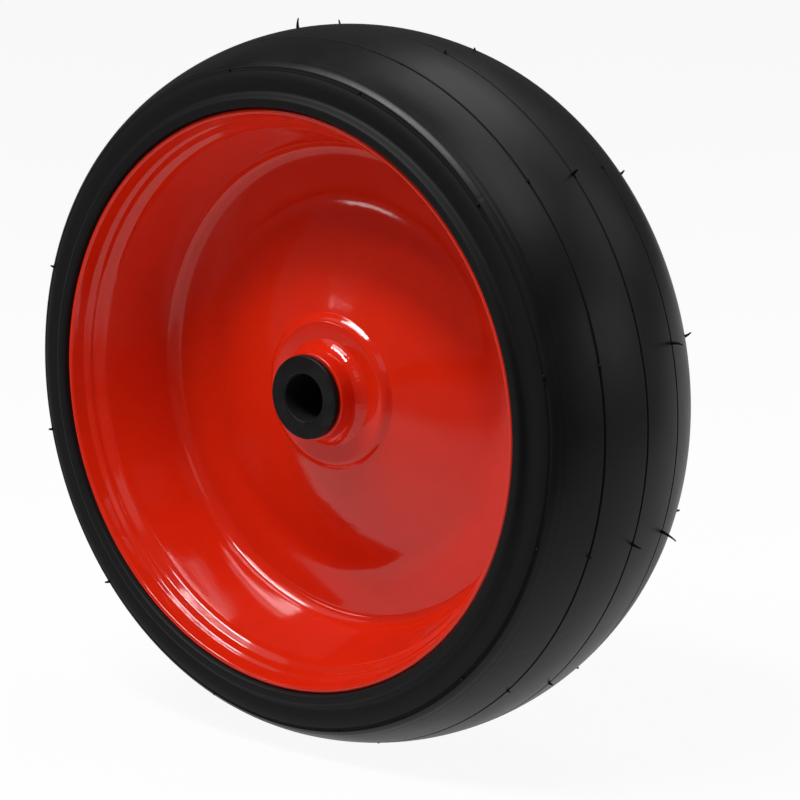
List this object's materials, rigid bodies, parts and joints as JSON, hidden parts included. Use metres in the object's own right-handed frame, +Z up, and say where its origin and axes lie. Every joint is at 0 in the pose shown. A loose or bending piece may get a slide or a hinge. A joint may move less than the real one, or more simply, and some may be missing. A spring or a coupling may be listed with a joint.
{
  "type": "press wheel",
  "caption": "Deep-dished pressed-steel press wheel for a planter, with a smooth hollow rubber tyre, and a welded hub tube that turns on collared plain bushes.",
  "frame": {"origin": "centre of the wheel, on the axle's line at the mid-plane", "axes": "+Y along the axle from the front to the rear, +Z up, +X to the right seen from the front"},
  "size_m": [0.2999, 0.101, 0.3],
  "materials": {
    "tyre_rubber": "smooth matt rubber",
    "red_paint": "gloss",
    "bush_plastic": "satin",
    "wire_steel": "drawn wire"
  },
  "bodies": {
    "axle_bushes": {"front_bush": "bush_plastic", "rear_bush": "bush_plastic"},
    "wheel": {"tyre": "tyre_rubber", "front_bead_wire": "wire_steel", "rear_bead_wire": "wire_steel", "front_rim_half": "red_paint", "rear_rim_half": "red_paint", "rim_seam_weld": "red_paint", "hub_tube": "red_paint", "front_hub_weld": "red_paint", "rear_hub_weld": "red_paint"}
  },
  "joints": [
    {"name": "wheel_spin", "type": "hinge", "parent": "axle_bushes", "child": "wheel", "pos_m": [0, 0, 0], "axis": [0, 1, 0], "continuous": true}
  ]
}
